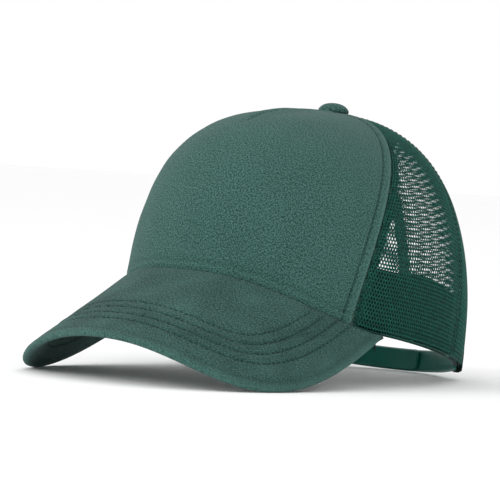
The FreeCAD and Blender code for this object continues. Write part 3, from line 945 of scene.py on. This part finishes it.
def brim_point(across, inset, offset, share=1.0):
    """Point of the brim: share runs from the crown to the inset line along the edge."""
    ix, iy, ox, oy = brim_ends(across)
    width = np.maximum(np.hypot(ox - ix, oy - iy), 0.01)
    v = share * (1.0 - np.minimum(inset, 0.5 * width) / width)
    x, y = ix + (ox - ix) * v, iy + (oy - iy) * v
    h = 0.01
    slope_x = (brim_height(x + h, y) - brim_height(x - h, y)) / (2.0 * h)
    slope_y = (brim_height(x, y + h) - brim_height(x, y - h)) / (2.0 * h)
    normal = np.stack([-slope_x, -slope_y, 1.0 + 0.0 * x], -1)
    normal = normal / np.linalg.norm(normal, axis=-1, keepdims=True)
    base = np.stack([x, y, brim_height(x, y)], -1)
    return base + normal * np.broadcast_to(offset, x.shape)[..., None]


edge_turns = np.linspace(-1.0, 1.0, 401)
edge_line = brim_point(edge_turns, 0.0, 0.0)


def edge_distance(points):
    """Distance from each point to the brim's edge."""
    flat = points.reshape(-1, 3)
    found = [np.linalg.norm(edge_line - p, axis=1).min() for p in flat]
    return np.array(found).reshape(points.shape[:-1])


BRIM_ROWS = (15.5, 21.5, 27.5, 33.5)
print("brim length along its slope, mm", round(float(np.linalg.norm(
    brim_point(np.array(0.0), 0.0, 0.0) - brim_point(np.array(0.0), 0.0, 0.0, 0.0))), 1))

# %% Brim top cloth
COVER_TOP, BEAD, WRAP = 2.0, 1.95, 5.0
BRIM_REACH = 0.985


def pressed_rows(distance):
    return sum(bump_at(distance - row, 0.75) for row in BRIM_ROWS)


def brim_cloth_place(u, v):
    across = BRIM_REACH * (-1.0 + 2.0 * u) + 0.0 * v
    top = np.clip(v / 0.80, 0.0, 1.0)
    wrap = np.clip((v - 0.80) / 0.12, 0.0, 1.0)
    under = np.clip((v - 0.92) / 0.08, 0.0, 1.0)
    turn = 0.5 * math.pi - math.pi * wrap
    inset = BEAD * (1.0 - np.cos(turn)) + under * WRAP
    offset = np.where(v < 0.80, COVER_TOP, BEAD * np.sin(turn) + 0.05)
    base = brim_point(across, inset, 0.0, top)
    distance = edge_distance(base)
    on_top = smooth((0.80 - v) / 0.02)
    rows = pressed_rows(distance) * on_top
    along, over = walk(base, 0), walk(base, 1)
    root = smooth((over - 1.0) / 3.0)
    pucker = bump_at(distance - 24.5, 13.0) * on_top * gentle_waves(along, distance, 7.0, 12)
    roll = bump_at(distance - 4.6, 1.6) * on_top
    offset = offset - 0.5 * rows + 0.2 * pucker - 0.2 * roll - 0.5 * (1.0 - root) * on_top
    offset = offset + 0.12 * on_top * root * gentle_waves(along, over, 30.0, 13)
    points = brim_point(across, inset, offset, top)
    edge = bump_at(distance, 2.6) * (v < 0.91)
    quilted = bump_at(distance - 24.5, 9.0) * on_top
    patches = gentle_waves(along, over, 38.0, 15)
    # worn lighter along the edge and in patches; darker over the stitched zone; painted shade in
    # the pressed stitch rows and in the groove near the edge
    worn_and_painted_shading = 0.42 * edge + 0.2 * np.maximum(patches, 0.0) * on_top - 0.16 * quilted - 0.22 * rows
    return points, np.stack([along - 0.5 * along[-1:], over], -1), worn_and_painted_shading - 0.2 * roll


brim_mesh = laid_grid("brim_cloth", 260, 110, brim_cloth_place, flip=True)
add_sheet("brim_cloth", brim_mesh, shaded_brim_cotton, ["brim_top_cover", "brim_edge"], 0.8)

# %% Brim under cloth
UNDER_LOW, UNDER_INSET = 2.0, 5.2


def brim_under_place(u, v):
    across = BRIM_REACH * (-1.0 + 2.0 * u) + 0.0 * v
    base = brim_point(across, UNDER_INSET, 0.0, v + 0.0 * u)
    distance = edge_distance(base)
    along, over = walk(base, 0), walk(base, 1)
    rows = pressed_rows(distance)
    offset = -UNDER_LOW + 0.4 * rows + 0.35 * bump_at(distance - UNDER_INSET, 0.8)
    offset = offset - 0.12 * bump_at(distance - 24.5, 13.0) * gentle_waves(along, distance, 7.0, 14)
    points = brim_point(across, UNDER_INSET, offset, v + 0.0 * u)
    # painted light: 0.2 lifts the whole underside; painted shade in the stitch rows
    return points, np.stack([along - 0.5 * along[-1:], over], -1), 0.2 - 0.4 * rows


under_mesh = laid_grid("brim_under_cloth", 220, 80, brim_under_place)
add_sheet("brim_under_cloth", under_mesh, shaded_brim_cotton, ["brim_bottom_cover"], 0.8)

# %% [markdown]
# ## Button
# The button on top is a metal shell covered with a disc of the same cotton. It is a turned shape,
# so its profile is drawn as a few edges and spun once round.

# %% Button cloth
PROFILE = ((0.0, 5.4), (1.6, 5.34), (3.2, 5.1), (4.8, 4.62), (6.2, 3.85), (7.3, 2.85), (7.95, 1.9),
           (8.2, 1.2), (8.15, 0.6), (7.8, 0.15), (7.1, -0.05), (6.3, 0.0))
button_cut = bmesh.new()
corners = [button_cut.verts.new((r, 0.0, z)) for r, z in PROFILE]
edges = [button_cut.edges.new(pair) for pair in zip(corners, corners[1:])]
bmesh.ops.spin(button_cut, geom=corners + edges, axis=(0, 0, 1), cent=(0, 0, 0),
               angle=2.0 * math.pi, steps=64, use_merge=True)
bmesh.ops.remove_doubles(button_cut, verts=button_cut.verts, dist=0.01)
bmesh.ops.recalc_face_normals(button_cut, faces=button_cut.faces)
for vertex in button_cut.verts:
    reach = math.hypot(vertex.co.x, vertex.co.y)
    around = math.atan2(vertex.co.y, vertex.co.x)
    gather = math.sin(13.0 * around + 1.3 * math.sin(2 * around))
    fold = float(smooth((reach - 4.5) / 3.5)) * 0.14 * gather
    vertex.co.x *= 1.0 + fold / max(reach, 1.0)
    vertex.co.y *= 1.0 + fold / max(reach, 1.0)
bmesh.ops.rotate(button_cut, matrix=Matrix.Rotation(math.atan(APEX_SLOPE), 3, "X"),
                 verts=button_cut.verts)
bmesh.ops.translate(button_cut, vec=(0.0, APEX_BEHIND, CROWN_HEIGHT), verts=button_cut.verts)
for vertex in button_cut.verts:
    vertex.co = standing(vertex.co)
button_map = button_cut.loops.layers.uv.new("cloth")
for face in button_cut.faces:
    for loop in face.loops:
        loop[button_map].uv = (loop.vert.co.x, loop.vert.co.y)
add_sheet("button_cloth", finished(button_cut, "button_cloth"), cotton,
          ["button_cover"], 0.7)

# %% [markdown]
# ## Snap strap
# Each half of the strap is one soft plastic moulding: a tab sewn to the cap, and a band that bends
# where it leaves the tab. One half has five holes and the other has six pegs. The hole half is
# built from cells: a ring round each hole grows out to a rectangle, and the cells join edge to
# edge. The long edges are then pulled out into thin raised rims, and the flat strip is bent onto
# the oval.

# %% Strap helpers
STRAP_HALF, STRAP_BOTTOM, STRAP_THICK, STRAP_DEPTH = 6.1, -5.4, 1.2, 3.6
SNAP_PITCH, FIRST_SNAP, HINGE_AT, TAB_END = 10.0, 7.5, 53.0, 74.2
RIM_FROM, RIM_HEIGHT, CORNER = 4.7, 0.32, 4.0


def hole_depth(s):
    return STRAP_DEPTH - 0.8 * smooth((HINGE_AT - s) / 20.0)


def peg_depth(s):
    return STRAP_DEPTH + 0.8 * smooth((HINGE_AT + s) / 20.0)


def grow_ring(cut, edges, place):
    """Pull a ring of edges outwards; place gives each new vertex its spot from its direction."""
    new = bmesh.ops.extrude_edge_only(cut, edges=edges)["geom"]
    for vertex in vertices_in(new):
        direction = Vector((vertex.co.x, vertex.co.y, 0.0)).normalized()
        vertex.co = place(direction)
    return [g for g in new if isinstance(g, bmesh.types.BMEdge)
            and all(v in new for v in g.verts)]


def hole_cell(at):
    """One hole with its collar in a rectangle of strap."""
    cut = bmesh.new()
    made = bmesh.ops.create_circle(cut, segments=24, radius=2.9, cap_ends=False)["verts"]
    bmesh.ops.translate(cut, vec=(0.0, 0.0, 0.10), verts=made)
    ring = cut.edges[:]
    for radius, height in ((3.1, 0.26), (3.6, 0.26), (3.9, 0.0)):
        ring = grow_ring(cut, ring, lambda d: d * radius + Vector((0.0, 0.0, height)))

    def corner_place(d):
        longest = max(abs(d.x), abs(d.y))
        return Vector((0.5 * SNAP_PITCH * d.x / longest, RIM_FROM * d.y / longest, 0.0))
    grow_ring(cut, ring, corner_place)
    bmesh.ops.translate(cut, vec=(at, 0.0, 0.0), verts=cut.verts)
    return finished(cut, "cell")


def pull_edges(cut, chosen, steps):
    """Pull the chosen border edges out in steps of (move x, move y, height)."""
    edges = [e for e in cut.edges if e.is_boundary and all(chosen(v.co) for v in e.verts)]
    for dx, dy, dz in steps:
        new = bmesh.ops.extrude_edge_only(cut, edges=edges)["geom"]
        moved = vertices_in(new)
        bmesh.ops.translate(cut, vec=(dx, dy, dz), verts=moved)
        edges = [g for g in new if isinstance(g, bmesh.types.BMEdge)
                 and all(v in moved for v in g.verts)]


def finish_strip(cut, name, free_end, depth_at):
    """Add the raised rims, round the free end and bend the strip onto the rear oval."""
    for side in (1.0, -1.0):
        pull_edges(cut, lambda co: abs(co.y - side * RIM_FROM) < 0.01, [
            (0.0, side * 0.25, RIM_HEIGHT), (0.0, side * 0.9, 0.0),
            (0.0, side * (STRAP_HALF - RIM_FROM - 1.15), -0.22)])
    bmesh.ops.recalc_face_normals(cut, faces=cut.faces)
    if sum(face.normal.z for face in cut.faces) > 0:
        bmesh.ops.reverse_faces(cut, faces=cut.faces)
    mesh = finished(cut, name)
    at = places(mesh)
    sign = 1.0 if free_end > 0 else -1.0
    beyond = sign * (at[:, 0] - free_end) + CORNER
    aside = np.abs(at[:, 1]) - (STRAP_HALF - CORNER)
    corner = (beyond > 0) & (aside > 0)
    scale = np.maximum(beyond, aside) / np.maximum(np.hypot(beyond, aside), 1e-6)
    s = np.where(corner, free_end + sign * (beyond * scale - CORNER), at[:, 0])
    y = np.where(corner, np.sign(at[:, 1]) * (STRAP_HALF - CORNER + aside * scale), at[:, 1])
    ridge = 0.16 * np.maximum(np.cos(y * 2.0 * math.pi / 1.9), 0.0) * (np.abs(y) < 4.3)
    plain = smooth((np.abs(s) - 44.0) / 3.0) * smooth((73.5 - np.abs(s)) / 1.5)
    outward = 0.5 * STRAP_THICK + at[:, 2] + ridge * plain
    x, back_y = oval_point(rear_angle(s), depth_at(s) - outward)
    height = STRAP_BOTTOM + STRAP_HALF + y
    set_places(mesh, np.stack([x, back_y, height], -1))
    return mesh


def strap_point(s, y, depth):
    x, back_y = oval_point(rear_angle(s), depth)
    return standing(np.array([float(x), float(back_y), STRAP_BOTTOM + STRAP_HALF + y]))


def add_strap_half(cut, name, free_end, depth_at, side):
    """One half of the strap: a plate that bends away from the crown beside the tab, given its
    thickness and baked in place.
    """
    mesh = finish_strip(cut, name + "_plate", free_end, depth_at)
    plate = add_piece(name + "_plate", mesh, strap_plastic, None, [name, name + "_tab"])
    add_thickness(plate, STRAP_THICK)
    strap_point(side * (HINGE_AT + 2.5), 0.0, STRAP_DEPTH)
    strap_point(side * (HINGE_AT - 3.0), 0.0, STRAP_DEPTH)
    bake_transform(plate)
    print(name, "faces", len(mesh.polygons))


HOLE_NUMBERS, PEG_NUMBERS, HOLE_END, PEG_END = range(-4, 1), range(-5, 1), -37.4, 14.4
print("snap holes at, mm", [FIRST_SNAP + SNAP_PITCH * k for k in HOLE_NUMBERS])

# %% Hole half of the strap
hole_cut = bmesh.new()
for number in HOLE_NUMBERS:
    cell = hole_cell(FIRST_SNAP + number * SNAP_PITCH)
    hole_cut.from_mesh(cell)
    bpy.data.meshes.remove(cell)
bmesh.ops.remove_doubles(hole_cut, verts=hole_cut.verts, dist=0.01)
last = FIRST_SNAP + 0.5 * SNAP_PITCH
pull_edges(hole_cut, lambda co: abs(co.x - last) < 0.01, [((TAB_END - last) / 44.0, 0.0, 0.0)] * 44)
add_strap_half(hole_cut, "hole_strap", HOLE_END, hole_depth, 1.0)

# %% Peg half of the strap
peg_cut = bmesh.new()
bmesh.ops.create_grid(peg_cut, x_segments=72, y_segments=16, size=0.5)
bmesh.ops.scale(peg_cut, vec=(PEG_END + TAB_END, 2.0 * RIM_FROM, 1.0), verts=peg_cut.verts)
bmesh.ops.translate(peg_cut, vec=(0.5 * (PEG_END - TAB_END), 0.0, 0.0), verts=peg_cut.verts)
add_strap_half(peg_cut, "peg_strap", PEG_END, peg_depth, -1.0)

# %% Pegs
pegs_cut = bmesh.new()
for number in PEG_NUMBERS:
    at = FIRST_SNAP + number * SNAP_PITCH
    depth = float(peg_depth(at))
    foot, top = strap_point(at, 0.0, depth - 0.4), strap_point(at, 0.0, depth - 0.6 - 1.5)
    out = Vector(top - foot)
    stand = out.to_track_quat("Z", "Y").to_matrix().to_4x4()
    middle = Matrix.Translation(Vector(0.5 * (foot + top))) @ stand
    bmesh.ops.create_cone(pegs_cut, cap_ends=True, cap_tris=False, segments=20, radius1=0.0020,
                          radius2=0.0015, depth=out.length, matrix=middle)
rims = [e for e in pegs_cut.edges if len(e.link_faces) == 2
        and any(len(f.verts) > 4 for f in e.link_faces)]
bmesh.ops.bevel(pegs_cut, geom=rims, offset=0.00035, segments=3, profile=0.5, affect="EDGES",
                material=-1)
add_piece("strap_pegs", finished(pegs_cut, "strap_pegs"), strap_plastic, "peg_strap")
print("pegs", len(PEG_NUMBERS))

# %% [markdown]
# ## Stitches
# Topstitching is what makes the seams read as sewn. Each stitch is a short plump thread: a small
# sphere stretched along the seam and sunk into its groove. A line of places is walked at an even
# pitch, and one stitch is set at each step, so that their spacing stays right on every curve.


# %% Stitch helper
def sew(cut, points, normals, pitch=2.9, length=2.15, radius=0.3, sink=0.05):
    """Set stitches along a line of head-frame points with their outward directions."""
    walked = walk(points, 0)
    for at in np.arange(0.5 * pitch, walked[-1], pitch):
        ends = [Vector([np.interp(at + d, walked, points[:, k]) for k in range(3)])
                for d in (-0.3, 0.3)]
        out = Vector([np.interp(at, walked, normals[:, k]) for k in range(3)]).normalized()
        along = (ends[1] - ends[0]).normalized()
        side = out.cross(along).normalized()
        middle = (ends[0] + ends[1]) / 2.0 - out * sink
        turn = Matrix((along, side, along.cross(side))).transposed().to_4x4()
        size = Matrix.Diagonal((0.5 * length, radius, radius * 0.85, 1.0))
        bmesh.ops.create_uvsphere(cut, u_segments=6, v_segments=4, radius=1.0,
                                  matrix=Matrix.Translation(middle) @ turn @ size)


def add_stitches(name, lines, slot_name="cotton", **style):
    """One piece of all the stitches along several lines of (points, normals)."""
    cut = bmesh.new()
    for points, normals in lines:
        sew(cut, points, normals, **style)
    mesh = finished(cut, name)
    set_places(mesh, places(mesh))
    add_piece(name, mesh, thread, "crown")
    print(name, "faces", len(mesh.polygons))


def both_sides(lines):
    """The lines and their mirror images."""
    other = [(p * np.array([-1.0, 1.0, 1.0]), n * np.array([-1.0, 1.0, 1.0])) for p, n in lines]
    return lines + other


def seam_line(seam, beside, depth, low=1.5, high=12.0, out=1.0):
    """A line beside a seam, from above the hem to below the button."""
    t = np.linspace(0.0, 1.0, 260)
    angle = shifted(seam, beside)(t)
    start, stop = t_above_hem(angle[:1], low)[0], t_below_apex(angle[-1:], high)[0]
    kept = (t > start) & (t < stop)
    angle, t = angle[kept], t[kept]
    return crown_layer(angle, t, depth), crown_normal(angle, t) * out


def seam_pair(seam, beside, *more):
    """Two lines, one on each side of a seam."""
    return [seam_line(seam, beside, *more), seam_line(seam, -beside, *more)]


def round_line(first, last, height, depth, out=1.0):
    """A line round the crown at an even height above the hem."""
    angle = np.linspace(first, last, 700)
    t = t_above_hem(angle, height)
    return crown_layer(angle, t, depth), crown_normal(angle, t) * out


print("helpers ready")

# %% Stitches on the crown
front_end = float(shifted(front_seam, -SEAM_STITCH)(0.03))
add_stitches("front_stitches", both_sides([seam_line(front_seam, -SEAM_STITCH, 0.66)])
             + [round_line(-front_end, front_end, HEM_STITCH, 0.8)])
add_stitches("net_stitches", both_sides(
    seam_pair(side_seam, 2.3, 0.15)
    + [round_line(float(front_seam(0.0)) + 0.02, band_end - 0.04, 5.0, 0.15)])
    + seam_pair(rear_seam, 2.3, 0.15, 56.0), "mesh")
add_stitches("tape_stitches", both_sides(
    seam_pair(front_seam, 4.6, 3.0, 36.0, 14.0, -1.0)
    + seam_pair(side_seam, 2.3, 3.0, 36.0, 14.0, -1.0))
    + seam_pair(rear_seam, 2.3, 3.0, 56.0, 14.0, -1.0), "tape")
add_stitches("sweatband_stitches", [
    round_line(-band_end + 0.03, band_end - 0.03, height, deep, -1.0)
    for height, deep in ((32.0, 4.75), (3.0, 4.8))], "sweatband")


# %% Stitches on the arch, brim and tabs
def arch_line(grow, depth, out):
    turn = np.radians(np.linspace(-84.0, 84.0, 300))
    angle, t = rear_place(*arch_path(turn, grow))
    return crown_layer(angle, t, depth), crown_normal(angle, t) * out


add_stitches("arch_stitches", [arch_line(1.6, -0.55, 1.0), arch_line(6.6, -0.5, 1.0),
                               arch_line(1.6, 2.15, -1.0), arch_line(6.6, 2.15, -1.0)], "tape")


def brim_row(distance, offset, out=1.0):
    """The line on the brim that stays this far from its edge."""
    across = np.linspace(-0.97, 0.97, 500)
    low, high = np.zeros_like(across), np.ones_like(across)
    for _ in range(16):
        share = 0.5 * (low + high)
        nearer = edge_distance(brim_point(across, 0.0, 0.0, share)) < distance
        low, high = np.where(nearer, low, share), np.where(nearer, share, high)
    kept = share > 0.02
    across, share = across[kept], share[kept]
    points = brim_point(across, 0.0, offset, share)
    return points, (points - brim_point(across, 0.0, offset - 1.0, share)) * out


add_stitches("brim_stitches", [brim_row(row, COVER_TOP - 0.30) for row in BRIM_ROWS]
             + [brim_row(row, -UNDER_LOW + 0.3, -1.0) for row in BRIM_ROWS],
             pitch=3.1, length=2.2, radius=0.36)


def tab_line(y, sign):
    s = sign * np.linspace(56.0, 73.0, 60)
    x, back_y = oval_point(rear_angle(s), STRAP_DEPTH - 0.62)
    x2, y2 = oval_point(rear_angle(s), STRAP_DEPTH - 1.62)
    points = np.stack([x, back_y, STRAP_BOTTOM + STRAP_HALF + y + 0.0 * x], -1)
    return points, np.stack([x2 - x, y2 - back_y, 0.0 * x], -1)


add_stitches("tab_stitches", [tab_line(y, sign) for y in (-3.8, 3.8) for sign in (-1.0, 1.0)],
             "strap")

# %% [markdown]
# ## Parts kept from the frame
# The board inside the brim and the button's metal core and washer are simple hard shapes. Their
# CAD meshes are right as they are, so they stay and only take a better finish.

# %% Finishes for the kept parts
for node_name, finish in (("brim_board", board_plastic), ("button_core", metal),
                          ("button_washer", metal)):
    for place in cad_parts[node_name].material_slots:
        place.material = finish
    print(node_name, "takes", finish.name)
